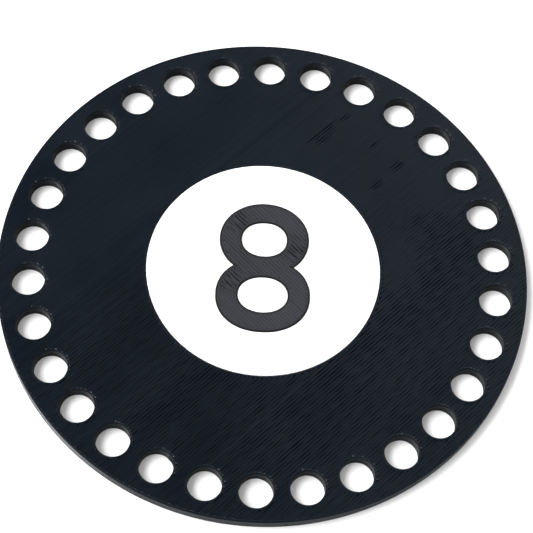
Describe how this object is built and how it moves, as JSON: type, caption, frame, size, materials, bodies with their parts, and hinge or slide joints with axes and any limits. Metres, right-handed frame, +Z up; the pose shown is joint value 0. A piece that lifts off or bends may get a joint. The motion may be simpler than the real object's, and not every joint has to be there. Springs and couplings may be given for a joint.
{
  "type": "crochet base plate",
  "caption": "Flat round base plate with a ring of stitch holes near its rim, and a figure 8 inlaid in a white centre disc.",
  "frame": {"origin": "centre of the plate's underside", "axes": "+Z up out of the top face, +Y towards the top of the figure 8, where one stitch hole is centred, +X to the right of the 8"},
  "size_m": [0.1, 0.1, 0.0028],
  "materials": {
    "black_plastic": "satin, with the fine parallel lines of 3-D printing",
    "white_plastic": "satin, with the fine parallel lines of 3-D printing",
    "dark_grey_plastic": "satin, with the fine parallel lines of 3-D printing"
  },
  "bodies": {
    "root": {"base_plate": "black_plastic", "white_disc": "white_plastic", "numeral_8": "dark_grey_plastic"}
  },
  "joints": []
}
